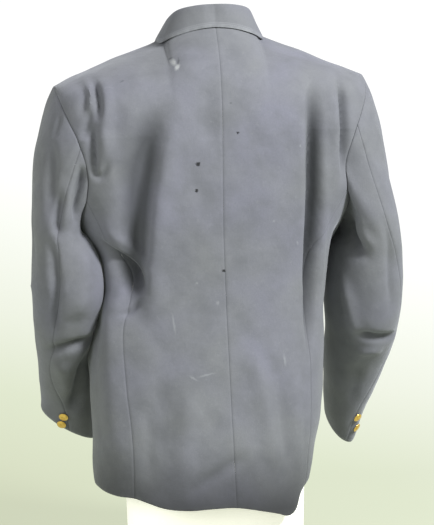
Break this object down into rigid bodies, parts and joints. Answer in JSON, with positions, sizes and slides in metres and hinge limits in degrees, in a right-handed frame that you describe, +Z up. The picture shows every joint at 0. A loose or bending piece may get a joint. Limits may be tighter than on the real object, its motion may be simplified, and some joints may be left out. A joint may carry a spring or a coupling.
{
  "type": "jacket on a dress form",
  "caption": "Single-breasted uniform jacket with a turned-down collar, notched lapels and two-piece sleeves with gilt buttons, hung on a white limbless dress form.",
  "frame": {"origin": "centre of the dress form's flat foot, on the surface that it stands on", "axes": "+Z up; the jacket's front faces -Y and its back +Y; the wearer's left is +X"},
  "size_m": [0.5786, 0.3444, 0.8389],
  "materials": {
    "cloth": "matte wool twill, faded navy",
    "form": "matte white stockinette over a rigid torso",
    "gilt": "polished gilt, slightly tarnished"
  },
  "bodies": {
    "root": {"back_left": "cloth", "back_right": "cloth", "side_left": "cloth", "side_right": "cloth", "front_left": "cloth", "front_right": "cloth", "lapel_left": "cloth", "lapel_right": "cloth", "collar": "cloth", "top_sleeve_left": "cloth", "top_sleeve_right": "cloth", "under_sleeve_left": "cloth", "under_sleeve_right": "cloth", "cuff_button_upper_left": "gilt", "cuff_button_lower_left": "gilt", "cuff_button_upper_right": "gilt", "cuff_button_lower_right": "gilt", "front_button_1": "gilt", "front_button_2": "gilt", "front_button_3": "gilt", "dress_form": "form"}
  },
  "joints": []
}
